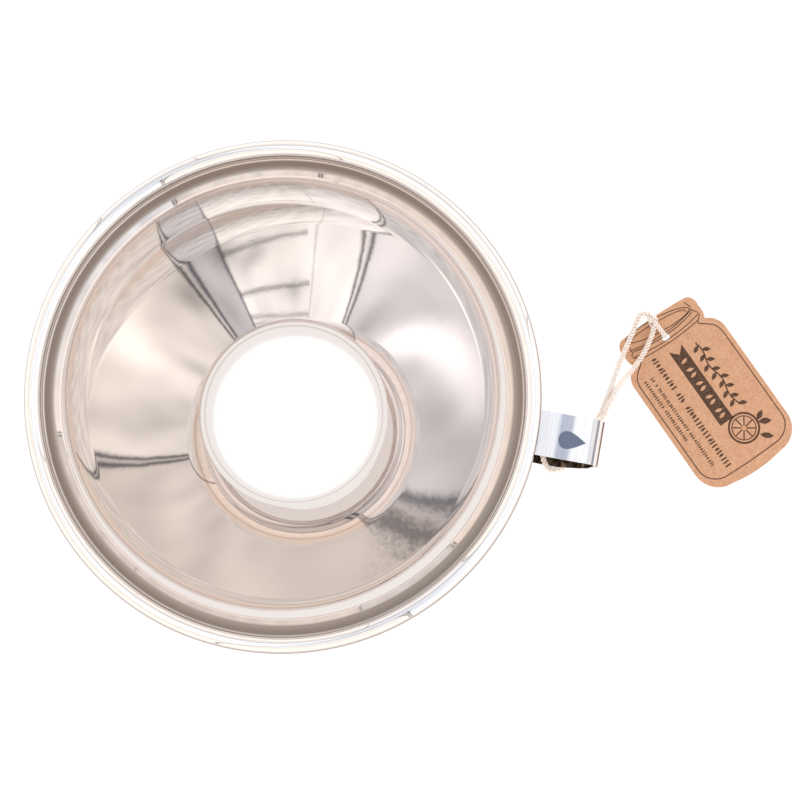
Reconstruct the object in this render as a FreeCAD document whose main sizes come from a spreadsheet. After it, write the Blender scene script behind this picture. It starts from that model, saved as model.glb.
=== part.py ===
import FreeCAD, Part
import math
import os
import Sketcher
from FreeCAD import Vector

# Stainless canning funnel with a strap handle, a twine loop and a card hang tag.
# Millimetres. Origin: funnel axis at the spout's lower edge. +Z up the axis, +X along the handle strap.

doc = FreeCAD.newDocument("canning_funnel")

# ---------------------------------------------------------------- driving dimensions
drivingSizes = {
    # funnel, one drawn sheet; radii and heights are of the middle of the sheet
    "sheetGauge": 0.6,
    "spoutRadius": 24.6,
    "spoutHeight": 7.7,
    "spoutBend": 14.0,
    "stepRadius": 57.86,
    "coneHeight": 47.06,
    "stepBend": 35.0,
    "ledgeRadius": 60.1,
    "ledgeHeight": 52.35,
    "ledgeBend": 0.8,
    "crownRadius": 62.2,
    "crownHeight": 53.3,
    "crownBend": 1.6,
    "rootHeight": 52.75,
    "rootBend": 0.8,
    "beadCentre": 66.85,
    "beadHeight": 56.2,
    "beadRadius": 1.85,
    "curlEnd": 115.0,
    # handle strap, side profile along the middle of its thickness
    "strapGauge": 0.9,
    "strapWidth": 12.1,
    "strapOffset": 2.25,
    "legHeight": 51.45,
    "legBend": 2.0,
    "endReach": 86.45,
    "endBend": 3.0,
    "bellyReach": 84.6,
    "bellyHeight": 38.2,
    "bellyBend": 14.0,
    "heelReach": 76.3,
    "heelHeight": 26.6,
    "heelBend": 6.0,
    "returnHeight": 37.5,
    "returnBend": 2.5,
    "upperTab": 10.0,
    "lowerTab": 9.0,
    # resistance spot welds through the two tabs
    "weldRadius": 1.6,
    "weldProud": 0.15,
    "weldEdge": 0.13,
    "weldSpacing": 5.2,
    "weldInset": 4.0,
    # hang tag, stamped card
    "tagLength": 54.8,
    "tagWidth": 33.2,
    "tagThickness": 0.45,
    "mouthWidth": 23.4,
    "mouthSag": 0.5,
    "lipDepth": 1.45,
    "lipSwell": 0.35,
    "ringWidth": 27.0,
    "ringDepth": 4.6,
    "ringSwell": 0.1,
    "neckWidth": 25.8,
    "neckDepth": 8.9,
    "shoulderDepth": 14.5,
    "shoulderRise": 1.7,
    "shoulderInset": 1.4,
    "baseSag": 0.9,
    "baseCorner": 8.0,
    "holeRadius": 1.27,
    "holeDepth": 7.0,
    "tagMouthX": 99.47,
    "tagMouthY": 48.35,
    "tagTurn": -45.5,
    # cotton twine and its knot
    "twineDiameter": 1.5,
    "knotX": 99.6,
    "knotY": 47.1,
    "knotZ": 1.95,
    "knotLength": 4.0,
    "knotWidth": 3.2,
    "knotThickness": 2.9,
    "knotTurn": 128.0,
}

sheet = doc.addObject("Spreadsheet::Sheet", "sizes")
for row, (alias, value) in enumerate(drivingSizes.items(), start=1):
    sheet.set(f"A{row}", alias)
    sheet.set(f"B{row}", str(value))
    sheet.setAlias(f"B{row}", alias)
doc.recompute()


def size(alias):
    return float(getattr(sheet, alias))


# ---------------------------------------------------------------- flat outlines
def roundedPath(points, bends):
    """Runs and arcs through points, each inner corner rounded by its own radius.
    A run is ("line", start, end); an arc is ("arc", centre, radius, start angle, sweep)."""
    pieces = []
    start = Vector(*points[0])
    for i in range(1, len(points) - 1):
        before = Vector(*points[i - 1])
        corner = Vector(*points[i])
        after = Vector(*points[i + 1])
        inward = (corner - before).normalize()
        outward = (after - corner).normalize()
        turn = math.atan2(inward.x * outward.y - inward.y * outward.x, inward.dot(outward))
        radius = bends[i - 1]
        setback = radius * math.tan(abs(turn) / 2)
        tangentIn = corner - inward * setback
        side = math.copysign(1.0, turn)
        centre = tangentIn + Vector(-inward.y, inward.x) * (side * radius)
        spoke = tangentIn - centre
        pieces.append(("line", start, tangentIn))
        pieces.append(("arc", centre, radius, math.atan2(spoke.y, spoke.x), turn))
        start = corner + outward * setback
    pieces.append(("line", start, Vector(*points[-1])))
    return pieces


def shifted(piece, distance):
    """One run or arc of a path moved sideways, to the left of its direction when distance is positive."""
    if piece[0] == "line":
        along = (piece[2] - piece[1]).normalize()
        sideways = Vector(-along.y, along.x) * distance
        return ("line", piece[1] + sideways, piece[2] + sideways)
    kind, centre, radius, start, sweep = piece
    return (kind, centre, radius - distance * math.copysign(1.0, sweep), start, sweep)


def ends(piece):
    if piece[0] == "line":
        return piece[1], piece[2]
    kind, centre, radius, start, sweep = piece
    first = centre + Vector(math.cos(start), math.sin(start)) * radius
    last = centre + Vector(math.cos(start + sweep), math.sin(start + sweep)) * radius
    return first, last


def addPiece(sketch, piece):
    """Adds a run or an arc; returns its index and which of its ends comes first along the path."""
    if piece[0] == "line":
        return sketch.addGeometry(Part.LineSegment(piece[1], piece[2]), False), (1, 2)
    kind, centre, radius, start, sweep = piece
    circle = Part.Circle(centre, Vector(0, 0, 1), radius)
    if sweep > 0:
        return sketch.addGeometry(Part.ArcOfCircle(circle, start, start + sweep), False), (1, 2)
    return sketch.addGeometry(Part.ArcOfCircle(circle, start + sweep, start), False), (2, 1)


def addLoop(sketch, pieces):
    """Adds the pieces one after another and joins them end to end into a closed loop."""
    added = [addPiece(sketch, piece) for piece in pieces]
    for (index, order), (nextIndex, nextOrder) in zip(added, added[1:] + added[:1]):
        sketch.addConstraint(Sketcher.Constraint("Coincident", index, order[1], nextIndex, nextOrder[0]))
    return [index for index, order in added]


def backwards(piece):
    if piece[0] == "line":
        return ("line", piece[2], piece[1])
    kind, centre, radius, start, sweep = piece
    return (kind, centre, radius, start + sweep, -sweep)


def addRibbon(sketch, path, gauge):
    """A strip of even gauge along the path: one side out, an end cap, the other side back, an end cap."""
    left = [shifted(piece, gauge / 2) for piece in path]
    right = [backwards(shifted(piece, -gauge / 2)) for piece in reversed(path)]
    farCap = ("line", ends(left[-1])[1], ends(right[0])[0])
    nearCap = ("line", ends(right[-1])[1], ends(left[0])[0])
    indices = addLoop(sketch, left + [farCap] + right + [nearCap])
    return indices[:len(left)], indices[len(left)], indices[len(left) + 1:-1], indices[-1]


def bind(sketch, constraint, expression):
    index = sketch.addConstraint(constraint)
    sketch.setExpression(f"Constraints[{index}]", expression)


def newSketch(body, role, name):
    sketch = body.newObject("Sketcher::SketchObject", name)
    plane = [item for item in body.Origin.OriginFeatures if item.Role == role][0]
    sketch.AttachmentSupport = (plane, [""])
    sketch.MapMode = "FlatFace"
    return sketch


def newBody(label):
    body = doc.addObject("PartDesign::Body", label)
    body.Label = label
    return body


# ---------------------------------------------------------------- funnel body
def conePoint(height, outward):
    """A point beside the straight cone at the given height, moved outward square to its slope."""
    run = size("stepRadius") - size("spoutRadius")
    rise = size("coneHeight") - size("spoutHeight")
    slope = math.hypot(run, rise)
    radius = size("spoutRadius") + (height - size("spoutHeight") + outward * run / slope) * run / rise
    return radius + outward * rise / slope, height


def makeFunnel():
    """Spout, cone, step, crowned ledge and a curled rim, drawn from one sheet."""
    body = newBody("funnel_body")
    sketch = newSketch(body, "XZ_Plane", "funnel_profile")
    gauge = size("sheetGauge")
    beadWall = size("beadCentre") - size("beadRadius")
    corners = [
        (size("spoutRadius"), 0),
        (size("spoutRadius"), size("spoutHeight")),
        (size("stepRadius"), size("coneHeight")),
        (size("ledgeRadius"), size("ledgeHeight")),
        (size("crownRadius"), size("crownHeight")),
        (beadWall, size("rootHeight")),
        (beadWall, size("beadHeight")),
    ]
    bends = [size(name) for name in ("spoutBend", "stepBend", "ledgeBend", "crownBend", "rootBend")]
    path = roundedPath(corners, bends)
    beadMiddle = Vector(size("beadCentre"), size("beadHeight"))
    curlArcs = 4
    curlSweep = -(math.pi + math.radians(size("curlEnd"))) / curlArcs
    for number in range(curlArcs):
        path.append(("arc", beadMiddle, size("beadRadius"), math.pi + number * curlSweep, curlSweep))
    inside, curlCap, outside, spoutCap = addRibbon(sketch, path, gauge)
    bind(sketch, Sketcher.Constraint("DistanceX", -1, 1, inside[0], 1, size("spoutRadius") - gauge / 2),
         "sizes.spoutRadius - sizes.sheetGauge / 2")
    bind(sketch, Sketcher.Constraint("DistanceX", -1, 1, outside[-1], 2, size("spoutRadius") + gauge / 2),
         "sizes.spoutRadius + sizes.sheetGauge / 2")
    for index in inside[-curlArcs:]:
        bind(sketch, Sketcher.Constraint("Radius", index, size("beadRadius") + gauge / 2),
             "sizes.beadRadius + sizes.sheetGauge / 2")
    for index in outside[:curlArcs]:
        bind(sketch, Sketcher.Constraint("Radius", index, size("beadRadius") - gauge / 2),
             "sizes.beadRadius - sizes.sheetGauge / 2")
    bind(sketch, Sketcher.Constraint("DistanceX", -1, 1, inside[-1], 3, size("beadCentre")), "sizes.beadCentre")
    bind(sketch, Sketcher.Constraint("DistanceY", -1, 1, inside[-1], 3, size("beadHeight")), "sizes.beadHeight")
    spun = body.newObject("PartDesign::Revolution", "funnel_spun")
    spun.Profile = sketch
    spun.ReferenceAxis = (sketch, ["V_Axis"])
    spun.Angle = 360
    body.Tip = spun
    return body


# ---------------------------------------------------------------- handle strap and its welds
def strapPath():
    """Upper tab on the cone, level leg, rounded end, belly, heel, rising return leg, lower tab."""
    stand = (size("sheetGauge") + size("strapGauge")) / 2
    upperX, upperZ = conePoint(size("legHeight"), stand)
    lowerX, lowerZ = conePoint(size("returnHeight"), stand)
    slope = math.atan2(size("coneHeight") - size("spoutHeight"), size("stepRadius") - size("spoutRadius"))
    along = (math.cos(slope), math.sin(slope))
    upperRun = size("upperTab") + size("strapWidth") / 2
    return [
        (upperX - along[0] * upperRun, upperZ - along[1] * upperRun),
        (upperX, upperZ),
        (size("endReach"), size("legHeight")),
        (size("bellyReach"), size("bellyHeight")),
        (size("heelReach"), size("heelHeight")),
        (lowerX, lowerZ),
        (lowerX - along[0] * size("lowerTab"), lowerZ - along[1] * size("lowerTab")),
    ]


def makeStrap():
    """Flat strap bent into a closed ear; its two ends lie on the cone."""
    body = newBody("handle_strap")
    sketch = newSketch(body, "XZ_Plane", "strap_side")
    bends = [size(name) for name in ("legBend", "endBend", "bellyBend", "heelBend", "returnBend")]
    path = roundedPath(strapPath(), bends)
    top, lowerCap, under, upperCap = addRibbon(sketch, path, size("strapGauge"))
    gauge = size("strapGauge")
    for cap in (lowerCap, upperCap):
        bind(sketch, Sketcher.Constraint("Distance", cap, gauge), "sizes.strapGauge")
    bend = top[3]
    bind(sketch, Sketcher.Constraint("Radius", bend, size("endBend") + gauge / 2),
         "sizes.endBend + sizes.strapGauge / 2")
    pad = body.newObject("PartDesign::Pad", "strap_pad")
    pad.Profile = sketch
    pad.Midplane = True
    pad.setExpression("Length", "sizes.strapWidth")
    body.Tip = pad
    doc.recompute()
    for end, tabEnd in (("upper", strapPath()[0]), ("lower", strapPath()[-1])):
        cutWeldHoles(body, end, tabEnd)
    body.setExpression("Placement.Base.y", "sizes.strapOffset")
    return body


def weldPlaces(tabEnd):
    """Centres and the outward axis of the two welds on a tab, in the strap's own frame."""
    slope = math.atan2(size("coneHeight") - size("spoutHeight"), size("stepRadius") - size("spoutRadius"))
    middle = Vector(tabEnd[0] + math.cos(slope) * size("weldInset"), 0,
                    tabEnd[1] + math.sin(slope) * size("weldInset"))
    outward = Vector(math.sin(slope), 0, -math.cos(slope))
    across = Vector(0, size("weldSpacing") / 2, 0)
    return [middle - across, middle + across], outward


def weldCylinder(centre, outward, proud):
    """A round plug through the tab that stands proud of its outer face."""
    half = size("strapGauge") / 2
    return Part.makeCylinder(size("weldRadius"), 2 * half + proud, centre - outward * half, outward)


def cutWeldHoles(body, end, tabEnd):
    """Opens the tab where the fused nuggets sit."""
    centres, outward = weldPlaces(tabEnd)
    for number, centre in enumerate(centres, start=1):
        cutter = body.newObject("PartDesign::SubtractiveCylinder", f"{end}_weld_hole_{number}")
        cutter.setExpression("Radius", "sizes.weldRadius")
        cutter.setExpression("Height", "sizes.strapGauge * 2")
        turn = FreeCAD.Rotation(Vector(0, 0, 1), outward)
        cutter.Placement = FreeCAD.Placement(centre - outward * size("strapGauge"), turn)
        body.Tip = cutter
        doc.recompute()


def makeWelds():
    """Four fused nuggets, two on each tab, with a low domed mark on the strap's outer face."""
    plugs = []
    for tabEnd in (strapPath()[0], strapPath()[-1]):
        centres, outward = weldPlaces(tabEnd)
        for centre in centres:
            plug = weldCylinder(centre, outward, size("weldProud"))
            rimEdges = [edge for edge in plug.Edges if edge.Closed
                        and (edge.CenterOfMass - centre).dot(outward) > 0]
            plugs.append(plug.makeChamfer(size("weldEdge"), rimEdges))
    welds = doc.addObject("Part::Feature", "spot_welds")
    welds.Label = "spot_welds"
    welds.Shape = Part.makeCompound(plugs)
    welds.setExpression("Placement.Base.y", "sizes.strapOffset")
    return welds


# ---------------------------------------------------------------- hang tag
def arcThrough(start, middle, end):
    """An arc piece from three points of its curve."""
    curve = Part.Arc(Vector(*start), Vector(*middle), Vector(*end)).toShape().Curve
    centre = curve.Center
    first = math.atan2(start[1] - centre.y, start[0] - centre.x)
    last = math.atan2(end[1] - centre.y, end[0] - centre.x)
    chord = Vector(end[0] - start[0], end[1] - start[1])
    bulge = Vector(middle[0] - start[0], middle[1] - start[1])
    turnsLeft = chord.x * bulge.y - chord.y * bulge.x < 0
    sweep = (last - first) % (2 * math.pi)
    return ("arc", centre, curve.Radius, first, sweep if turnsLeft else sweep - 2 * math.pi)


def makeTag():
    """Jar-shaped card: convex mouth, screw ring, neck, shoulders and a round-cornered base, one hole."""
    body = newBody("hang_tag")
    sketch = newSketch(body, "XY_Plane", "tag_outline")
    mouth = size("mouthWidth") / 2
    ring = size("ringWidth") / 2
    neck = size("neckWidth") / 2
    side = size("tagWidth") / 2
    length = size("tagLength")
    corner = size("baseCorner")
    mouthSag = size("mouthSag")
    baseSag = size("baseSag")
    diagonal = corner * (1 - math.sqrt(0.5))
    lipSwell = (size("lipDepth"), (mouth + ring) / 2 + size("lipSwell"))
    ringSwell = ((size("ringDepth") + size("neckDepth")) / 2, ring + size("ringSwell"))
    shoulderSwell = (size("neckDepth") + size("shoulderRise"), side - size("shoulderInset"))
    half = [
        arcThrough((mouthSag, mouth), lipSwell, (size("ringDepth"), ring)),
        arcThrough((size("ringDepth"), ring), ringSwell, (size("neckDepth"), neck)),
        arcThrough((size("neckDepth"), neck), shoulderSwell, (size("shoulderDepth"), side)),
        ("line", Vector(size("shoulderDepth"), side), Vector(length - baseSag - corner, side)),
        arcThrough((length - baseSag - corner, side), (length - baseSag - diagonal, side - diagonal),
                   (length - baseSag, side - corner)),
    ]
    base = arcThrough((length - baseSag, side - corner), (length, 0), (length - baseSag, corner - side))
    otherHalf = [mirrored(piece) for piece in reversed(half)]
    front = arcThrough((mouthSag, -mouth), (0, 0), (mouthSag, mouth))
    indices = addLoop(sketch, half + [base] + otherHalf + [front])
    bind(sketch, Sketcher.Constraint("Radius", indices[4], half[4][2]), "sizes.baseCorner")
    hole = sketch.addGeometry(Part.Circle(Vector(size("holeDepth"), 0), Vector(0, 0, 1), size("holeRadius")), False)
    bind(sketch, Sketcher.Constraint("Radius", hole, size("holeRadius")), "sizes.holeRadius")
    bind(sketch, Sketcher.Constraint("DistanceX", -1, 1, hole, 3, size("holeDepth")), "sizes.holeDepth")
    sketch.addConstraint(Sketcher.Constraint("PointOnObject", hole, 3, -1))
    card = body.newObject("PartDesign::Pad", "tag_card")
    card.Profile = sketch
    card.setExpression("Length", "sizes.tagThickness")
    body.Tip = card
    body.setExpression("Placement.Base.x", "sizes.tagMouthX")
    body.setExpression("Placement.Base.y", "sizes.tagMouthY")
    body.setExpression("Placement.Rotation.Angle", "sizes.tagTurn")
    return body


def mirrored(piece):
    """The piece reflected across the tag's long axis and run the other way."""
    if piece[0] == "line":
        return ("line", Vector(piece[2].x, -piece[2].y), Vector(piece[1].x, -piece[1].y))
    kind, centre, radius, start, sweep = piece
    return (kind, Vector(centre.x, -centre.y), radius, -(start + sweep), sweep)


# ---------------------------------------------------------------- twine loop and knot
# From the tag's hole, through the knot and round a small bight, up to the handle, under the return leg,
# round its edge, back across inside the strap's ear and down to the knot again.
twineRoute = [
    (104.3, 43.3, 1.0),
    (102.8, 44.5, 1.4),
    (101.2, 46.0, 1.8),
    (99.4, 47.6, 2.0),
    (97.6, 49.2, 2.1),
    (95.5, 48.5, 2.1),
    (95.0, 46.0, 2.2),
    (94.3, 42.7, 2.5),
    (93.2, 38.5, 3.9),
    (91.8, 33.3, 7.4),
    (90.5, 27.8, 12.1),
    (89.3, 22.4, 16.4),
    (88.1, 17.2, 20.4),
    (86.7, 12.4, 24.2),
    (85.0, 7.2, 25.3),
    (82.7, 2.0, 25.1),
    (80.0, -2.2, 24.8),
    (77.4, -4.5, 25.6),
    (75.0, -5.1, 27.9),
    (72.9, -4.2, 30.0),
    (72.2, -0.8, 30.7),
    (74.6, 3.4, 31.4),
    (77.0, 7.8, 32.4),
    (80.4, 10.5, 32.1),
    (84.0, 11.0, 30.8),
    (86.9, 12.5, 28.0),
    (88.6, 16.1, 23.7),
    (90.2, 20.5, 19.0),
    (91.8, 24.6, 13.9),
    (94.6, 29.0, 7.1),
    (97.0, 33.3, 3.0),
    (98.6, 37.0, 2.0),
    (99.5, 40.3, 1.8),
    (100.2, 43.1, 1.8),
    (100.3, 45.7, 1.9),
]

arcShare = 0.45  # part of the shorter neighbouring run that an arc takes up


def routeWire(points):
    """Straight runs joined by tangent arcs, each as large as its two runs allow."""
    vertices = [Vector(*point) for point in points]
    edges = []
    radii = []
    start = vertices[0]
    for before, corner, after in zip(vertices, vertices[1:], vertices[2:]):
        inward = (corner - before).normalize()
        outward = (after - corner).normalize()
        shorter = min((corner - before).Length, (after - corner).Length)
        turn = inward.getAngle(outward)
        setback = arcShare * shorter
        radii.append(setback / math.tan(turn / 2))
        tangentIn = corner - inward * setback
        tangentOut = corner + outward * setback
        toCentre = (outward - inward).normalize()
        middle = corner + toCentre * (math.hypot(radii[-1], setback) - radii[-1])
        edges.append(Part.LineSegment(start, tangentIn).toShape())
        edges.append(Part.Arc(tangentIn, middle, tangentOut).toShape())
        start = tangentOut
    edges.append(Part.LineSegment(start, vertices[-1]).toShape())
    return Part.Wire(edges), radii


def makeTwine():
    """The twine's tube along its route; prints its radii, length and volume."""
    wire, radii = routeWire(twineRoute)
    radius = size("twineDiameter") / 2
    first = Vector(*twineRoute[0])
    along = Vector(*twineRoute[1]) - first
    section = Part.Wire(Part.makeCircle(radius, first, along))
    tube = wire.makePipeShell([section], True, False)
    ideal = math.pi * radius ** 2 * wire.Length
    print("twine radii", [round(value, 1) for value in radii])
    print("twine length", round(wire.Length, 1), "volume ratio", round(tube.Volume / ideal, 4),
          "lowest", round(tube.BoundBox.ZMin, 2))
    twine = doc.addObject("Part::Feature", "twine")
    twine.Label = "twine"
    twine.Shape = tube
    return twine


def makeKnot():
    """An overhand knot's outer shape: a three-axis ellipsoid lying on the tag's mouth edge."""
    knot = doc.addObject("Part::Ellipsoid", "twine_knot")
    knot.Label = "twine_knot"
    knot.setExpression("Radius1", "sizes.knotThickness / 2")
    knot.setExpression("Radius2", "sizes.knotLength / 2")
    knot.setExpression("Radius3", "sizes.knotWidth / 2")
    knot.Placement.Rotation = FreeCAD.Rotation(Vector(0, 0, 1), size("knotTurn"))
    knot.setExpression("Placement.Base.x", "sizes.knotX")
    knot.setExpression("Placement.Base.y", "sizes.knotY")
    knot.setExpression("Placement.Base.z", "sizes.knotZ")
    return knot


# ---------------------------------------------------------------- build, check, write
subParts = [makeFunnel(), makeStrap(), makeWelds(), makeTag(), makeTwine(), makeKnot()]
doc.recompute()

for item in doc.Objects:
    if "Invalid" in item.State or "Error" in item.State:
        raise RuntimeError(f"{item.Name} failed: {item.State}")
for item in subParts:
    shape = item.Shape
    if shape.isNull() or not shape.isValid():
        raise RuntimeError(f"{item.Label} has no valid shape")
    print(item.Label, "volume", round(shape.Volume, 1), "solids", len(shape.Solids))

os.makedirs("parts", exist_ok=True)
for item in subParts:
    item.Shape.exportStep(f"parts/{item.Label}.step")
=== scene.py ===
import math

import bpy
import numpy as np
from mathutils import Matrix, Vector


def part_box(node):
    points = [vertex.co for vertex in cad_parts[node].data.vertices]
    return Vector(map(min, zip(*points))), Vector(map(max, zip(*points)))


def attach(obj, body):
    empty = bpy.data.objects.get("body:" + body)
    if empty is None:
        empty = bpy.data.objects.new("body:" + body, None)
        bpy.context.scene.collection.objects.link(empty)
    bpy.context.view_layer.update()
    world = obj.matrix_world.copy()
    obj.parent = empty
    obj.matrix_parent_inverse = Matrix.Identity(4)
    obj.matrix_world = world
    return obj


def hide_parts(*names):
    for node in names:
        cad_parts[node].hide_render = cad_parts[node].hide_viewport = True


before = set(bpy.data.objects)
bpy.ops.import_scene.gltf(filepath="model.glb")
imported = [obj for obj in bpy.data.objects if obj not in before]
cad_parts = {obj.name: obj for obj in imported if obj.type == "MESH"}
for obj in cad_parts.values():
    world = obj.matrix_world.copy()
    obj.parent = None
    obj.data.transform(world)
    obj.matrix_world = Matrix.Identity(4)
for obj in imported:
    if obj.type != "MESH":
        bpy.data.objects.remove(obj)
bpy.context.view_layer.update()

# A polished steel canning funnel with a brushed strap handle and a kraft hang tag on a cotton twine loop.
# Metres throughout; sizes called "Mm" are in millimetres and are turned to metres where they are used.

mm = 0.001


# ---- small helpers: colour, nodes, meshes

def linearColour(hexText):
    # sRGB hex to linear red, green, blue and an alpha of 1
    parts = np.array([int(hexText[i:i + 2], 16) for i in (1, 3, 5)]) / 255.0
    lin = np.where(parts <= 0.04045, parts / 12.92, ((parts + 0.055) / 1.055) ** 2.4)
    return (float(lin[0]), float(lin[1]), float(lin[2]), 1.0)


def addNode(tree, kind, values={}, links={}, **settings):
    # one node with its settings, the values of its sockets and the links into them
    node = tree.nodes.new("ShaderNode" + kind)
    for name, value in settings.items():
        setattr(node, name, value)
    for socket, value in values.items():
        node.inputs[socket].default_value = value
    for socket, source in links.items():
        tree.links.new(source, node.inputs[socket])
    return node


def newMaterial(name, shade):
    # an empty material with a Principled shader that takes the given socket values
    material = bpy.data.materials.new(name)
    material.use_nodes = True
    tree = material.node_tree
    tree.nodes.clear()
    shader = addNode(tree, "BsdfPrincipled", shade)
    addNode(tree, "OutputMaterial", links={"Surface": shader.outputs["BSDF"]})
    return material, tree, shader


def setRamp(ramp, stops):
    # gives a colour ramp its stops: position, hex colour and, where there is one, alpha
    elements = ramp.color_ramp.elements
    while len(elements) < len(stops):
        elements.new(1.0)
    for element, stop in zip(elements, stops):
        element.position = stop[0]
    for element, stop in zip(elements, stops):
        alpha = stop[2] if len(stop) > 2 else 1.0
        element.color = linearColour(stop[1])[:3] + (alpha,)


def objectSpace(tree, scale=(1, 1, 1)):
    # the piece's own coordinates, in metres, stretched by scale
    place = addNode(tree, "TexCoord")
    return addNode(tree, "Mapping", {"Scale": scale}, {"Vector": place.outputs["Object"]}).outputs["Vector"]


def meshPiece(name, vertices, faces, material, smooth=True):
    # a mesh object at the origin, made of the given vertices and faces
    mesh = bpy.data.meshes.new(name)
    mesh.from_pydata(np.asarray(vertices).tolist(), [], [list(face) for face in faces])
    mesh.polygons.foreach_set("use_smooth", np.full(len(mesh.polygons), smooth))
    mesh.materials.append(material)
    mesh.update()
    piece = bpy.data.objects.new(name, mesh)
    bpy.context.scene.collection.objects.link(piece)
    return piece


def gridFaces(rows, columns, wrapRows, wrapColumns, first=0):
    # quads between neighbouring points of a grid, closed on itself in either direction if asked
    i = np.arange(rows if wrapRows else rows - 1)[:, None]
    j = np.arange(columns if wrapColumns else columns - 1)[None, :]
    nextRow = (i + 1) % rows
    nextColumn = (j + 1) % columns
    corners = [i * columns + j, i * columns + nextColumn,
               nextRow * columns + nextColumn, nextRow * columns + j]
    return (np.stack(np.broadcast_arrays(*corners), axis=-1) + first).reshape(-1, 4)


# ---- camera

cameraSetup = {
    "place": (0.04351, -0.05482, 0.53199),  # above the funnel, a little towards the handle
    "turn": (7.156, 0.212, 10.3),  # degrees: leaning 7 from straight down, turned with the handle
    "lens": 81.0,
    "sensor": 36.0,
    "nearest": 0.01,
}

cameraData = bpy.data.cameras.new("camera")
cameraData.lens = cameraSetup["lens"]
cameraData.sensor_width = cameraSetup["sensor"]
cameraData.clip_start = cameraSetup["nearest"]
camera = bpy.data.objects.new("camera", cameraData)
camera.location = cameraSetup["place"]
camera.rotation_euler = [math.radians(angle) for angle in cameraSetup["turn"]]
bpy.context.scene.collection.objects.link(camera)
bpy.context.scene.camera = camera
print("camera set")


# ---- cotton twine: three plies twisted together, from the tag's hole up to the handle and back to the knot

twineSetup = {
    "plies": 3,
    "pitchMm": 3.3,  # length in which a ply goes once round
    "plyRadiusMm": 0.43,
    "plyOffsetMm": 0.38,
    "stepMm": 0.28,
    "sides": 10,
    "lean": (0.55, 0.3, 0.78),  # a direction that the twine never takes
    "colour": "#fffcf8",
    "streakColour": "#f3e2d2",
    "grooveShadeColour": "#a9805f",
    "grooveShadeMm": 0.45,  # how far apart two surfaces are when the groove between them starts to darken
    "fibreMm": 0.25,
}

# the same route as the twine's solid, with a sharper turn below the handle's near edge
twineRoute = [
    (0.1043, 0.0433, 0.0010),
    (0.1028, 0.0445, 0.0014),
    (0.1012, 0.0460, 0.0018),
    (0.0994, 0.0476, 0.0020),
    (0.0976, 0.0492, 0.0021),
    (0.0955, 0.0485, 0.0021),
    (0.0950, 0.0460, 0.0022),
    (0.0943, 0.0427, 0.0025),
    (0.0932, 0.0385, 0.0039),
    (0.0918, 0.0333, 0.0074),
    (0.0905, 0.0278, 0.0121),
    (0.0893, 0.0224, 0.0164),
    (0.0881, 0.0172, 0.0204),
    (0.0867, 0.0124, 0.0242),
    (0.0850, 0.0072, 0.0253),
    (0.0827, 0.0020, 0.0251),
    (0.0802, -0.0026, 0.0248),
    (0.0778, -0.0041, 0.0257),
    (0.0752, -0.0050, 0.0275),
    (0.0736, -0.0037, 0.0295),
    (0.0725, -0.0018, 0.0306),
    (0.0724, 0.0004, 0.0310),
    (0.0746, 0.0038, 0.0315),
    (0.0770, 0.0078, 0.0324),
    (0.0804, 0.0101, 0.0318),
    (0.0840, 0.0102, 0.0306),
    (0.0872, 0.0114, 0.0281),
    (0.0886, 0.0161, 0.0237),
    (0.0902, 0.0205, 0.0190),
    (0.0918, 0.0246, 0.0139),
    (0.0946, 0.0290, 0.0071),
    (0.0970, 0.0333, 0.0030),
    (0.0986, 0.0370, 0.0020),
    (0.0995, 0.0403, 0.0018),
    (0.1002, 0.0431, 0.0018),
    (0.1003, 0.0457, 0.0019),
]


def splineLine(points):
    # the smooth line of a NURBS spline whose control points are the route's, as an array of places along it
    curve = bpy.data.curves.new("twineLine", "CURVE")
    curve.dimensions = "3D"
    spline = curve.splines.new("NURBS")
    spline.points.add(len(points) - 1)
    spline.points.foreach_set("co", np.column_stack([points, np.ones(len(points))]).ravel())
    spline.order_u = 3
    spline.use_endpoint_u = True
    spline.resolution_u = 16
    holder = bpy.data.objects.new("twineLine", curve)
    bpy.context.scene.collection.objects.link(holder)
    mesh = bpy.data.meshes.new_from_object(holder)
    line = np.empty(len(mesh.vertices) * 3)
    mesh.vertices.foreach_get("co", line)
    bpy.data.objects.remove(holder)
    bpy.data.curves.remove(curve)
    bpy.data.meshes.remove(mesh)
    return line.reshape(-1, 3)


def evenly(line, step):
    # the same line with points an even step apart, and each point's distance from the start
    lengths = np.concatenate([[0], np.cumsum(np.linalg.norm(np.diff(line, axis=0), axis=1))])
    count = int(round(lengths[-1] / step)) + 1
    along = np.linspace(0, lengths[-1], count)
    return np.stack([np.interp(along, lengths, line[:, k]) for k in range(3)], axis=1), along


def directions(line, closed):
    # unit tangents along a line from the differences of its neighbours
    if closed:
        run = np.roll(line, -1, axis=0) - np.roll(line, 1, axis=0)
    else:
        run = np.gradient(line, axis=0)
    return run / np.linalg.norm(run, axis=1)[:, None]


def twistedTubes(line, along, setup, closed):
    # For each ply: the line, moved off it by the ply's offset at an angle that grows with the distance along
    # it divided by the pitch, with a circle of the ply's radius round that.
    tangent = directions(line, closed)
    sideways = np.cross(tangent, np.asarray(setup["lean"], float))
    sideways /= np.linalg.norm(sideways, axis=1)[:, None]
    upward = np.cross(tangent, sideways)
    ring = np.linspace(0, 2 * np.pi, setup["sides"], endpoint=False)
    tubes = []
    for ply in range(setup["plies"]):
        turn = 2 * np.pi * (along / (setup["pitchMm"] * mm) + ply / setup["plies"])
        out = np.cos(turn)[:, None] * sideways + np.sin(turn)[:, None] * upward
        middle = line + out * setup["plyOffsetMm"] * mm
        radius = setup["plyRadiusMm"] * mm
        circle = (np.cos(ring)[None, :, None] * sideways[:, None, :]
                  + np.sin(ring)[None, :, None] * upward[:, None, :]) * radius
        tubes.append(middle[:, None, :] + circle)
    return tubes


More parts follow.
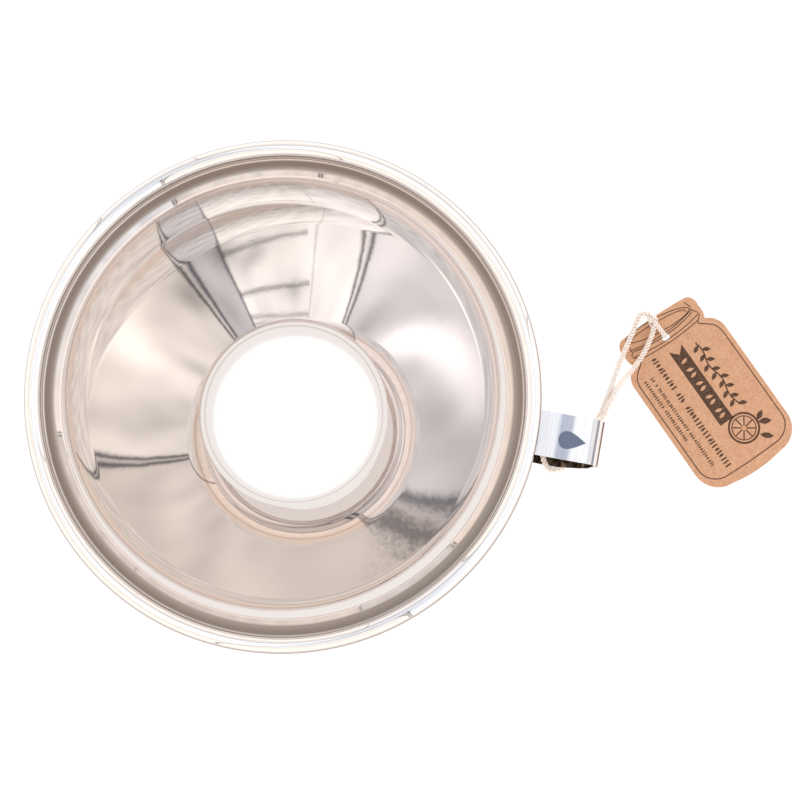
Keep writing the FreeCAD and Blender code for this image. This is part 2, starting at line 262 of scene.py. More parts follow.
def tubePiece(name, tubes, closed, material):
    # joins the tubes into one mesh; an open tube is closed by a flat face at each end
    vertices = np.concatenate([tube.reshape(-1, 3) for tube in tubes])
    faces = []
    first = 0
    for tube in tubes:
        rows, columns = tube.shape[:2]
        faces += gridFaces(rows, columns, closed, True, first).tolist()
        if not closed:
            faces.append([first + k for k in range(columns)])
            faces.append([first + rows * columns - 1 - k for k in range(columns)])
        first += rows * columns
    return meshPiece(name, vertices, faces, material)


def makeTwineMaterial(setup):
    # Cotton: spun, soft and matt. The fibres show as fine darker streaks, the grooves between the plies carry
    # painted shade, and the crowns have a little sheen. A faint painted glow stands for light that soaks
    # through the fibres.
    drawnFibreMm = setup["fibreMm"] * 4  # one fibre is too fine to show, so they are drawn in tufts
    # the emission is a painted glow that lightens the whole twine
    material, tree, shader = newMaterial("spunCotton", {
        "Roughness": 0.92, "Sheen Weight": 0.35, "Sheen Roughness": 0.5, "Specular IOR Level": 0.2,
        "Emission Color": linearColour("#fff0e6"), "Emission Strength": 0.06})
    fibres = addNode(tree, "TexNoise", {"Scale": 1 / (drawnFibreMm * mm), "Detail": 4.0, "Roughness": 0.7},
                     {"Vector": objectSpace(tree)})
    tone = addNode(tree, "ValToRGB", links={"Fac": fibres.outputs["Fac"]})
    setRamp(tone, [(0.32, setup["streakColour"]), (0.56, setup["colour"])])
    # painted shade: the colour darkens where the twine's own surfaces close in, in the grooves between the
    # plies
    grooveShade = addNode(tree, "AmbientOcclusion", {"Distance": setup["grooveShadeMm"] * mm}, samples=8)
    shade = addNode(tree, "MapRange", {"From Min": 0.45, "From Max": 0.85}, {"Value": grooveShade.outputs["AO"]})
    mixed = addNode(tree, "Mix", {6: linearColour(setup["grooveShadeColour"])},
                    {0: shade.outputs["Result"], 7: tone.outputs["Color"]}, data_type="RGBA")
    tree.links.new(mixed.outputs[2], shader.inputs["Base Color"])
    bump = addNode(tree, "Bump", {"Strength": 0.5, "Distance": 0.06 * mm},
                   {"Height": fibres.outputs["Fac"]})
    tree.links.new(bump.outputs["Normal"], shader.inputs["Normal"])
    return material


twineMaterial = makeTwineMaterial(twineSetup)
twineLine, twineAlong = evenly(splineLine(twineRoute), twineSetup["stepMm"] * mm)
twineTubes = twistedTubes(twineLine, twineAlong, twineSetup, False)
twine = tubePiece("cottonTwine", twineTubes, False, twineMaterial)
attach(twine, "root")
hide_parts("twine")
print("twine laid, length", round(float(twineAlong[-1]), 4))


# ---- the knot at the card's edge

knotSetup = {
    "middleMm": (99.6, 47.1, 1.95),
    "reachMm": (1.28, 0.92, 0.72),
    "turn": 128.0,
    "wholeTurns": 6,  # of the plies round the closed line
    "points": 150,
    "lean": (0.1, 0.2, 0.97),
}


def knotLine(setup):
    # the overhand knot's closed line: x = sin t + 2 sin 2t, y = cos t - 2 cos 2t, z = -sin 3t, each divided
    # by its greatest value and scaled to the knot's reach
    t = np.linspace(0, 2 * np.pi, setup["points"], endpoint=False)
    x = (np.sin(t) + 2 * np.sin(2 * t)) / 2.75
    y = (np.cos(t) - 2 * np.cos(2 * t)) / 3
    z = -np.sin(3 * t)
    local = np.stack([x, y, z], axis=1) * np.array(setup["reachMm"])
    turn = math.radians(setup["turn"])
    spin = np.array([[math.cos(turn), -math.sin(turn), 0], [math.sin(turn), math.cos(turn), 0], [0, 0, 1]])
    return (local @ spin.T + np.array(setup["middleMm"])) * mm


knotPath = knotLine(knotSetup)
knotAlong = np.linspace(0, 1, knotSetup["points"], endpoint=False)
knotTwist = dict(twineSetup, pitchMm=1 / knotSetup["wholeTurns"] / mm, lean=knotSetup["lean"])
knot = tubePiece("twineKnot", twistedTubes(knotPath, knotAlong, knotTwist, True), True, twineMaterial)
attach(knot, "root")
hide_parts("twine_knot")
print("knot tied")


# ---- funnel: one spun sheet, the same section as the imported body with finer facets

funnelSetup = {
    "gaugeMm": 0.6,
    "cornersMm": [  # radius and height of the middle of the sheet
        (24.6, 0.0),
        (24.6, 7.7),
        (57.86, 47.06),
        (60.1, 52.35),
        (62.2, 53.3),
        (65.0, 52.75),
        (65.0, 56.2),
    ],
    "bendsMm": [14.0, 35.0, 0.8, 1.6, 0.8],
    "beadRadiusMm": 1.85,
    "curlEnd": 115.0,
    "bendStep": 3.5,  # degrees between the points of a bend
    "beadStep": 7.0,
    "rowMm": 2.0,  # longest step along a straight run, so that reflections stay even across it
    "segments": 300,
}


def sheetPath(setup):
    # The middle line of the sheet: straight runs with a tangent arc at each corner, then the curled bead, and
    # each run cut into short steps. Gives points and the direction at each point.
    corners = np.array(setup["cornersMm"])
    points = [corners[0][None, :]]
    headings = [np.array([np.pi / 2])]
    for before, corner, after, radius in zip(corners, corners[1:], corners[2:], setup["bendsMm"]):
        inward = math.atan2(*(corner - before)[::-1])
        outward = math.atan2(*(after - corner)[::-1])
        turn = (outward - inward + math.pi) % (2 * math.pi) - math.pi
        setback = radius * math.tan(abs(turn) / 2)
        tangentIn = corner - setback * np.array([math.cos(inward), math.sin(inward)])
        side = math.copysign(1, turn)
        centre = tangentIn + side * radius * np.array([-math.sin(inward), math.cos(inward)])
        count = max(3, int(math.degrees(abs(turn)) / setup["bendStep"]) + 1)
        heading = inward + turn * np.linspace(0, 1, count)
        points.append(centre + side * radius * np.stack([np.sin(heading), -np.cos(heading)], axis=1))
        headings.append(heading)
    beadRadius = setup["beadRadiusMm"]
    sweep = math.pi + math.radians(setup["curlEnd"])
    angle = math.pi - sweep * np.linspace(0, 1, int(math.degrees(sweep) / setup["beadStep"]) + 1)
    beadMiddle = corners[-1] + np.array([beadRadius, 0])
    points.append(beadMiddle + beadRadius * np.stack([np.cos(angle), np.sin(angle)], axis=1))
    headings.append(angle - np.pi / 2)
    points = np.concatenate(points)
    heading = np.concatenate(headings)
    number = np.arange(len(points))
    gaps = np.linalg.norm(np.diff(points, axis=0), axis=1)
    share = [place + np.linspace(0, 1, max(1, math.ceil(gap / setup["rowMm"])), endpoint=False)
             for place, gap in enumerate(gaps)]
    share = np.append(np.concatenate(share), number[-1])
    points = np.stack([np.interp(share, number, points[:, axis]) for axis in (0, 1)], axis=1)
    heading = np.interp(share, number, heading)
    return points * mm, np.stack([np.cos(heading), np.sin(heading)], axis=1)


def spunSheet(name, setup, material):
    # The sheet's section, half a gauge each side of its middle line and closed at both edges, carried round
    # the axis: a point is (r cos a, r sin a, z). Its normals are the section's own, so no facets show.
    middle, heading = sheetPath(setup)
    left = np.stack([-heading[:, 1], heading[:, 0]], axis=1)
    half = setup["gaugeMm"] * mm / 2
    section = np.concatenate([middle + left * half, (middle - left * half)[::-1]])
    startNormals = np.concatenate([left[:-1], heading[-1:], -left[::-1][:-1], -heading[:1]])
    endNormals = np.concatenate([left[1:], heading[-1:], -left[::-1][1:], -heading[:1]])
    angle = np.linspace(0, 2 * np.pi, setup["segments"], endpoint=False)
    spoke = np.stack([np.cos(angle), np.sin(angle)], axis=1)
    flat = section[None, :, :1] * spoke[:, None, :]
    height = np.broadcast_to(section[None, :, 1:], flat.shape[:2] + (1,))
    points = np.concatenate([flat, height], axis=2)
    faces = gridFaces(setup["segments"], len(section), True, True)
    piece = meshPiece(name, points.reshape(-1, 3), faces, material)

    def spun(normals, around):
        rise = np.broadcast_to(normals[None, :, 1:], (len(around), len(normals), 1))
        return np.concatenate([normals[None, :, :1] * around[:, None, :], rise], axis=2)

    nextSpoke = np.roll(spoke, -1, axis=0)
    perCorner = np.stack([spun(startNormals, spoke), spun(endNormals, spoke),
                          spun(endNormals, nextSpoke), spun(startNormals, nextSpoke)], axis=2)
    piece.data.normals_split_custom_set(perCorner.reshape(-1, 3).tolist())
    return piece


polishAndLightSetup = {
    "rimMm": 70.0,
    # the colours paint shade into the channel behind the bead (62 to 64.1) and a highlight along the bead
    # (65.5 to 68.3)
    "bands": [  # radius in millimetres, colour, dullness
        (0.0, "#ebe5e2", 0.0),
        (25.7, "#ebe5e2", 0.0),
        (25.95, "#cdc0b8", 0.0),
        (26.2, "#ebe5e2", 0.0),
        (61.3, "#ebe4e0", 0.0),
        (62.0, "#a1948b", 1.0),
        (64.1, "#a1948b", 1.0),
        (64.6, "#e4dfdc", 0.2),
        (65.5, "#fbfbfc", 0.0),
        (68.3, "#fbfbfc", 0.0),
        (68.75, "#b09c92", 0.6),
    ],
    "roughness": (0.02, 0.3),  # where it shines most and where it is dullest
    "buffMm": (1.7, 0.0006),  # small ripples that the polish leaves: length and height
    "spinMm": (10.0, 0.004),  # slow ones that the spinning leaves
}


def makePolishedSteel(setup):
    # Stainless sheet, spun and buffed to a mirror with a warm cast. Its colour is set in rings by radius: the
    # channel behind the bead is rougher and carries brownish painted shade, the bead carries a painted
    # highlight, and thin darker rings sit where the spout meets the cone and towards the bead's outer edge.
    # The ripples only bend the reflections.
    rim = setup["rimMm"]
    sharpest, dullest = setup["roughness"]
    material, tree, shader = newMaterial("buffedStainless", {"Metallic": 1.0, "Roughness": sharpest})
    place = addNode(tree, "TexCoord").outputs["Object"]
    parts = addNode(tree, "SeparateXYZ", links={"Vector": place})
    flat = addNode(tree, "CombineXYZ", links={"X": parts.outputs["X"], "Y": parts.outputs["Y"]})
    radius = addNode(tree, "VectorMath", links={0: flat.outputs["Vector"]}, operation="LENGTH")
    share = addNode(tree, "MapRange", {"From Max": rim * mm}, {"Value": radius.outputs["Value"]})
    # colour and dullness by radius: the colour carries the painted shade and the painted highlight
    polishAndLight = addNode(tree, "ValToRGB", links={"Fac": share.outputs["Result"]})
    setRamp(polishAndLight, [(reach / rim, colour, dullness) for reach, colour, dullness in setup["bands"]])
    tree.links.new(polishAndLight.outputs["Color"], shader.inputs["Base Color"])
    rough = addNode(tree, "MapRange", {"To Min": sharpest, "To Max": dullest},
                    {"Value": polishAndLight.outputs["Alpha"]})
    tree.links.new(rough.outputs["Result"], shader.inputs["Roughness"])
    normal = {}
    for (length, height), detail in ((setup["buffMm"], 0.5), (setup["spinMm"], 1.0)):
        ripples = addNode(tree, "TexNoise", {"Scale": 1 / (length * mm), "Detail": detail}, {"Vector": place})
        bump = addNode(tree, "Bump", {"Strength": 1.0, "Distance": height * mm},
                       {"Height": ripples.outputs["Fac"], **normal})
        normal = {"Normal": bump.outputs["Normal"]}
    tree.links.new(normal["Normal"], shader.inputs["Normal"])
    return material


funnel = spunSheet("polishedFunnel", funnelSetup, makePolishedSteel(polishAndLightSetup))
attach(funnel, "root")
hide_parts("funnel_body")
print("funnel spun, faces", len(funnel.data.polygons))


# ---- strap handle and welds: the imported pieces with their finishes

strapSetup = {
    "scratchMm": 0.12,
    "blotchMm": 1.1,
    # faces that look towards this point get the painted shade of the ear's inside
    "earMiddleMm": (79.0, 2.2, 39.0),  # faces that look this way are the inside of the ear
    # painted reflections: tones that stand for what the satin face mirrors, ending in the brown of the bend
    "bands": [  # distance along the strap from the funnel's axis in millimetres, colour
        (66.0, "#dcdde2"),
        (73.8, "#e9eaed"),
        (74.9, "#b3b7c5"),
        (77.6, "#b8bbc7"),
        (78.5, "#f0f0f2"),
        (82.9, "#f4f4f5"),
        (83.2, "#e0e0e4"),
        (83.5, "#f2f2f4"),
        (84.2, "#dfdfe2"),
        (84.45, "#8f919c"),
        (84.9, "#9b9ca6"),
        (85.1, "#f6f6f7"),
        (85.75, "#f1ebe6"),
        (85.95, "#8c6049"),
        (86.6, "#4a3227"),
    ],
    "reflectionBandsEndMm": 88.0,
    "earShadeTones": [(0.35, "#3a312b"), (0.52, "#6a5b4c"), (0.66, "#cdbba2")],
}


def makeBrushedSteel(setup):
    # Stainless strip, belt-brushed across its width: fine parallel scratches. The bands of tone along it
    # stand for the lighter and darker things that such a satin face mirrors, up to the brown of the bend, and
    # the inside of the ear has the blotchy darks of a hollow that little light gets into.
    drawnScratchMm = setup["scratchMm"] * 3  # a real scratch is too fine to show
    start = setup["bands"][0][0]
    end = setup["reflectionBandsEndMm"]
    material, tree, shader = newMaterial("brushedStainless", {"Metallic": 1.0, "Roughness": 0.24})
    place = addNode(tree, "TexCoord").outputs["Object"]
    parts = addNode(tree, "SeparateXYZ", links={"Vector": place})
    share = addNode(tree, "MapRange", {"From Min": start * mm, "From Max": end * mm},
                    {"Value": parts.outputs["X"]})
    # painted reflections in bands along the strap
    tone = addNode(tree, "ValToRGB", links={"Fac": share.outputs["Result"]})
    setRamp(tone, [((along - start) / (end - start), colour) for along, colour in setup["bands"]])
    scratches = addNode(tree, "TexNoise",
                        {"Scale": 1 / (drawnScratchMm * mm), "Detail": 5.0, "Roughness": 0.75},
                        {"Vector": objectSpace(tree, (1.0, 0.04, 1.0))})
    streaks = addNode(tree, "MapRange", {"From Min": 0.3, "From Max": 0.7, "To Min": 0.80, "To Max": 1.08},
                      {"Value": scratches.outputs["Fac"]})
    streaked = addNode(tree, "VectorMath", links={0: tone.outputs["Color"], 1: streaks.outputs["Result"]},
                       operation="MULTIPLY")
    blotches = addNode(tree, "TexNoise", {"Scale": 1 / (setup["blotchMm"] * mm), "Detail": 3.0},
                       {"Vector": objectSpace(tree, (1.0, 0.3, 0.4))})
    # blotchy painted shade for the inside of the ear
    earShade = addNode(tree, "ValToRGB", links={"Fac": blotches.outputs["Fac"]})
    setRamp(earShade, setup["earShadeTones"])
    towards = addNode(tree, "VectorMath", {0: [size * mm for size in setup["earMiddleMm"]]}, {1: place},
                      operation="SUBTRACT")
    facing = addNode(tree, "VectorMath", links={0: towards.outputs["Vector"],
                                                1: addNode(tree, "NewGeometry").outputs["True Normal"]},
                     operation="DOT_PRODUCT")
    inside = addNode(tree, "Math", {1: 0.0}, {0: facing.outputs["Value"]}, operation="GREATER_THAN")
    colour = addNode(tree, "Mix", links={0: inside.outputs["Value"], 6: streaked.outputs["Vector"],
                                         7: earShade.outputs["Color"]}, data_type="RGBA")
    tree.links.new(colour.outputs[2], shader.inputs["Base Color"])
    rough = addNode(tree, "MapRange", {"To Min": 0.17, "To Max": 0.34}, {"Value": scratches.outputs["Fac"]})
    tree.links.new(rough.outputs["Result"], shader.inputs["Roughness"])
    bump = addNode(tree, "Bump", {"Strength": 0.25, "Distance": 0.02 * mm},
                   {"Height": scratches.outputs["Fac"]})
    tree.links.new(bump.outputs["Normal"], shader.inputs["Normal"])
    return material


def makeWeldSteel():
    # A resistance weld: dull, slightly pitted, straw to blue where the heat has tinted the steel.
    patchMm = 1.6
    pitMm = 0.25
    material, tree, shader = newMaterial("heatTintedSteel", {"Metallic": 1.0, "Roughness": 0.38})
    space = objectSpace(tree)
    patches = addNode(tree, "TexNoise", {"Scale": 1 / (patchMm * mm), "Detail": 2.0}, {"Vector": space})
    tint = addNode(tree, "ValToRGB", links={"Fac": patches.outputs["Fac"]})
    setRamp(tint, [(0.35, "#8d8a94"), (0.65, "#b9a684")])
    tree.links.new(tint.outputs["Color"], shader.inputs["Base Color"])
    pits = addNode(tree, "TexNoise", {"Scale": 1 / (pitMm * mm), "Detail": 3.0}, {"Vector": space})
    bump = addNode(tree, "Bump", {"Strength": 0.5, "Distance": 0.03 * mm}, {"Height": pits.outputs["Fac"]})
    tree.links.new(bump.outputs["Normal"], shader.inputs["Normal"])
    return material


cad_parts["handle_strap"].material_slots[0].material = makeBrushedSteel(strapSetup)
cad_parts["spot_welds"].material_slots[0].material = makeWeldSteel()
print("strap brushed")


# ---- etched mark on the strap: a plain drop

markSetup = {
    "middleMm": (78.4, 1.5),
    "lengthMm": 7.6,
    "widthMm": 5.2,
    "swell": 0.65,
    "pinch": 1.4,  # how fast it narrows to its tip
    "filmMm": 0.02,
    "points": 48,
    "rings": 5,
    "smallestRing": 0.02,
}


def makeMark(setup, material):
    # the drop's edge is x = a cos t, y = b sin t times sin(t/2) to the power of its pinch, filled by the same
    # curve shrunk towards its middle
    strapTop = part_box("handle_strap")[1][2]
    t = np.linspace(0, 2 * np.pi, setup["points"], endpoint=False)
    edge = np.stack([setup["lengthMm"] / 2 * np.cos(t),
                     setup["swell"] * setup["widthMm"] * np.sin(t) * np.sin(t / 2) ** setup["pinch"]], axis=1)
    shrink = np.linspace(1, setup["smallestRing"], setup["rings"])[:, None, None]
    flat = (edge[None] * shrink + np.array(setup["middleMm"])) * mm
    height = np.full(flat.shape[:2] + (1,), strapTop + setup["filmMm"] * mm)
    points = np.concatenate([flat, height], axis=2)
    faces = gridFaces(setup["rings"], setup["points"], False, True).tolist()
    faces.append([(setup["rings"] - 1) * setup["points"] + k for k in range(setup["points"])])
    piece = meshPiece("etchedDrop", points.reshape(-1, 3), faces, material, smooth=False)
    film = piece.modifiers.new("film", "SOLIDIFY")
    film.thickness = setup["filmMm"] * mm * 0.6
    film.offset = -1
    return piece


def makeEtch():
    # electro-etched steel: the brightness is eaten away and a blue-grey oxide stays
    grainMm = 0.3
    material, tree, shader = newMaterial("etchedOxide", {"Metallic": 0.55, "Roughness": 0.5})
    grain = addNode(tree, "TexNoise", {"Scale": 1 / (grainMm * mm), "Detail": 3.0},
                    {"Vector": objectSpace(tree)})
    tone = addNode(tree, "ValToRGB", links={"Fac": grain.outputs["Fac"]})
    setRamp(tone, [(0.0, "#5f6c84"), (1.0, "#7f8ca4")])
    tree.links.new(tone.outputs["Color"], shader.inputs["Base Color"])
    return material


mark = makeMark(markSetup, makeEtch())
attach(mark, "root")
print("mark etched")


# ---- hang tag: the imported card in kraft, with its print as a thin ink film

tagSetup = {
    "mouthMm": (99.47, 48.35),  # middle of the mouth edge; the tag's long axis runs from there to its base
    "turn": -45.5,
    "thicknessMm": 0.45,
    "lineMm": 0.32,
    "inkMm": 0.02,
    "threadsMm": [  # depth from the mouth edge, bow, reach to each side and shift of each turn of the thread
        (4.6, 1.3, 10.9, 0.0),
        (5.3, 1.3, 10.6, 0.1),
        (6.8, 1.2, 11.6, 0.3),
        (8.3, 0.7, 10.6, 0.2),
    ],
    "rowsMm": [  # start, end, distance off the axis, height and pitch of each row of marks, and its seed
        (10.6, 50.0, -6.9, 1.9, 1.16, 3),
        (15.0, 47.0, -10.7, 1.15, 0.80, 5),
        (15.0, 36.0, -12.9, 1.15, 0.80, 8),
    ],
    "sliceMm": (42.4, 3.4),
}


def makeKraft():
    # Uncoated kraft board: matt brown pulp, mottled, with pale and dark flecks of fibre.
    fibreMm = 0.5
    mottleMm = 2.2
    material, tree, shader = newMaterial("kraftBoard", {"Roughness": 0.93, "Specular IOR Level": 0.18})
    space = objectSpace(tree)
    mottle = addNode(tree, "TexNoise", {"Scale": 1 / (mottleMm * mm), "Detail": 5.0, "Roughness": 0.62},
                     {"Vector": space})
    tone = addNode(tree, "ValToRGB", links={"Fac": mottle.outputs["Fac"]})
    setRamp(tone, [(0.25, "#cd9a78"), (0.75, "#e5b794")])
    fibres = addNode(tree, "TexNoise", {"Scale": 1 / (fibreMm * mm), "Detail": 3.0, "Distortion": 1.2},
                     {"Vector": space})
    flecks = addNode(tree, "ValToRGB", links={"Fac": fibres.outputs["Fac"]})
    setRamp(flecks, [(0.30, "#b07c5c"), (0.62, "#f2c9aa")])
    mixed = addNode(tree, "Mix", {0: 0.35}, {6: tone.outputs["Color"], 7: flecks.outputs["Color"]},
                    data_type="RGBA")
    tree.links.new(mixed.outputs[2], shader.inputs["Base Color"])
    bump = addNode(tree, "Bump", {"Strength": 0.35, "Distance": 0.03 * mm},
                   {"Height": fibres.outputs["Fac"]})
    tree.links.new(bump.outputs["Normal"], shader.inputs["Normal"])
    return material


def makeInk():
    # dark brown letterpress ink that lets a little of the board's mottle through
    grainMm = 0.6
    material, tree, shader = newMaterial("brownInk", {"Roughness": 0.8, "Specular IOR Level": 0.25})
    grain = addNode(tree, "TexNoise", {"Scale": 1 / (grainMm * mm), "Detail": 3.0},
                    {"Vector": objectSpace(tree)})
    tone = addNode(tree, "ValToRGB", links={"Fac": grain.outputs["Fac"]})
    setRamp(tone, [(0.3, "#4b372d"), (0.75, "#735948")])
    tree.links.new(tone.outputs["Color"], shader.inputs["Base Color"])
    return material


def arcLine(middle, radii, start, stop, count=24):
    # points of an ellipse's arc, angles in degrees, in the tag's own millimetres
    angle = np.radians(np.linspace(start, stop, count))
    return np.array(middle) + np.stack([np.cos(angle) * radii[0], np.sin(angle) * radii[1]], axis=1)


def stroke(line, width):
    # a band of even width along a line: the line moved half the width to each side
    run = np.gradient(line, axis=0)
    run /= np.linalg.norm(run, axis=1)[:, None]
    across = np.stack([-run[:, 1], run[:, 0]], axis=1) * width / 2
    return np.stack([line + across, line - across], axis=1)


def straight(start, end, count=2):
    # points evenly along a straight line
    return np.linspace(np.array(start, float), np.array(end, float), count)


def bar(start, end, width):
    # a straight band from one point to another
    return stroke(straight(start, end), width)


def leaf(root, reach, angle, width):
    # a leaf's two edges: half the width times the sine of the distance along it, each side of its middle
    along = np.linspace(0, 1, 9)
    half = width / 2 * np.sin(np.pi * along)
    turn = math.radians(angle)
    ahead = np.array([math.cos(turn), math.sin(turn)])
    aside = np.array([-ahead[1], ahead[0]])
    middle = np.array(root) + along[:, None] * reach * ahead
    return np.stack([middle + half[:, None] * aside, middle - half[:, None] * aside], axis=1)


def borderLines(line):
    # neck, shoulder, side, round corner and base on one half, then the same mirrored
    half = np.concatenate([
        np.array([(8.9, 10.3), (9.7, 11.1), (10.6, 12.3), (11.7, 13.7), (13.0, 14.6), (14.8, 15.05)]),
        straight((17.0, 15.1), (43.6, 15.1), 3),
        arcLine((45.2, 8.6), (6.0, 6.5), 88, 8, 14),
        straight((51.3, 6.0), (51.4, 0.0), 4),
    ])
    return [stroke(half, line), stroke(half * np.array([1, -1]), line)]


def jarMouthLines(line):
    # the jar's open mouth seen from above, the turns of its screw thread, and its outline on both sides
    across = np.linspace(-1, 1, 30)
    mouth = arcLine((0, 0), (2.2, 10.7), 0, 360, 60)
    lean = math.radians(6.0)
    tilt = np.array([[math.cos(lean), math.sin(lean)], [-math.sin(lean), math.cos(lean)]])
    mouth = mouth @ tilt.T + (2.7, -0.1)
    lines = [mouth, mouth[12:48] * (0.6, 0.9) + (1.4, 0.0)]
    for depth, bow, reach, shift in tagSetup["threadsMm"]:
        lines.append(np.stack([depth + bow * (1 - across ** 2), reach * across + shift], axis=1))
    lines.append(np.array([(1.4, 10.5), (2.4, 10.8), (3.4, 11.2), (4.2, 10.9), (5.0, 11.3),
                           (6.1, 12.1), (7.3, 12.1), (8.2, 11.0), (9.0, 10.4)]))
    lines.append(np.array([(3.9, -10.7), (4.7, -11.2), (5.3, -10.8), (5.9, -11.6),
                           (7.0, -11.6), (7.5, -10.7), (9.0, -10.3)]))
    return [stroke(one, line * 0.85) for one in lines]


def ribbonBands():
    # a plain ribbon with a swallow-tail
    tail = np.array([[[11.4, 2.6], [13.8, 0.3]], [[14.4, 2.6], [14.4, 0.3]]])
    otherTail = np.array([[[13.8, 0.3], [11.4, -2.0]], [[14.4, 0.3], [14.4, -2.0]]])
    return [tail, otherTail, bar((14.4, 0.3), (38.0, 0.3), 4.6)]


def studBands():
    # the row of pointed marks that the ribbon's ink leaves bare
    return [leaf((place, -0.95), 2.5, 90 + 14 * (-1) ** number, 1.0)
            for number, place in enumerate(np.arange(16.4, 36.5, 2.45))]


def sprigBands():
    # a wavy stem with alternate leaves in place of a heading
    start, end = 13.5, 36.0

    def stemHeight(along):
        return 6.2 + 0.5 * np.sin((along - start) * 0.6)

    along = np.linspace(start, end, 40)
    bands = [stroke(np.stack([along, stemHeight(along)], axis=1), 0.42)]
    for number, place in enumerate(np.arange(start + 1, end - 0.5, 1.6)):
        side = 1 if number % 2 else -1
        bands.append(leaf((place, stemHeight(place)), 2.7, side * 60, 1.25))
    return bands


def rowBands():
    # rows of small upright leaves and seeds, with a gap now and then, in place of lines of print
    bands = []
    for start, end, across, height, pitch, seed in tagSetup["rowsMm"]:
        random = np.random.default_rng(seed)
        for place in np.arange(start, end, pitch):
            kind = random.uniform()
            lean = random.uniform(-16, 16)
            foot = (place, across - height / 2)
            if kind < 0.08:
                continue
            if kind < 0.6:
                bands.append(leaf(foot, height, 90 + lean, pitch * 0.66))
            else:
                bands.append(bar(foot, (place + 0.012 * lean, across + height / 2), pitch * 0.42))
    return bands


def sliceBands():
    # a slice of fruit: two rings and eight spokes, with three leaves beside it
    middle = np.array(tagSetup["sliceMm"])
    bands = [stroke(arcLine(middle, (4.5, 4.5), 0, 360, 48), 0.6),
             stroke(arcLine(middle, (3.6, 3.6), 0, 360, 48), 0.3)]
    for angle in np.radians(np.arange(0, 360, 45) + 10):
        ray = np.array([math.cos(angle), math.sin(angle)])
        bands.append(bar(middle + ray * 0.7, middle + ray * 3.4, 0.38))
    for root, reach, angle, width in (((43.2, 8.0), 4.0, 62, 1.9), ((42.6, 8.0), 3.4, 118, 1.6),
                                      ((46.6, 6.2), 4.2, 48, 1.7)):
        bands.append(leaf(root, reach, angle, width))
    return bands


def makePrint(name, bands, lift, setup, material):
    # all the bands laid on the card, turned and moved from its own axis to where the tag lies
    turn = math.radians(setup["turn"])
    spin = np.array([[math.cos(turn), -math.sin(turn)], [math.sin(turn), math.cos(turn)]])
    height = (setup["thicknessMm"] + lift) * mm
    vertices = []
    faces = []
    first = 0
    for band in bands:
        flat = (band.reshape(-1, 2) @ spin.T + np.array(setup["mouthMm"])) * mm
        vertices.append(np.column_stack([flat, np.full(len(flat), height)]))
        faces += gridFaces(band.shape[0], 2, False, False, first).tolist()
        first += len(flat)
    piece = meshPiece(name, np.concatenate(vertices), faces, material, smooth=False)
    film = piece.modifiers.new("film", "SOLIDIFY")
    film.thickness = setup["inkMm"] * mm * 0.6
    film.offset = 0
    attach(piece, "root")


kraft = makeKraft()
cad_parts["hang_tag"].material_slots[0].material = kraft
inkBands = borderLines(tagSetup["lineMm"]) + jarMouthLines(tagSetup["lineMm"]) + ribbonBands()
inkBands += sprigBands() + rowBands() + sliceBands()
makePrint("tagPrint", inkBands, tagSetup["inkMm"], tagSetup, makeInk())
makePrint("ribbonStuds", studBands(), tagSetup["inkMm"] * 2, tagSetup, kraft)
print("tag printed")


# ---- stage: white floor, and a white cloth light tent that hangs round the camera

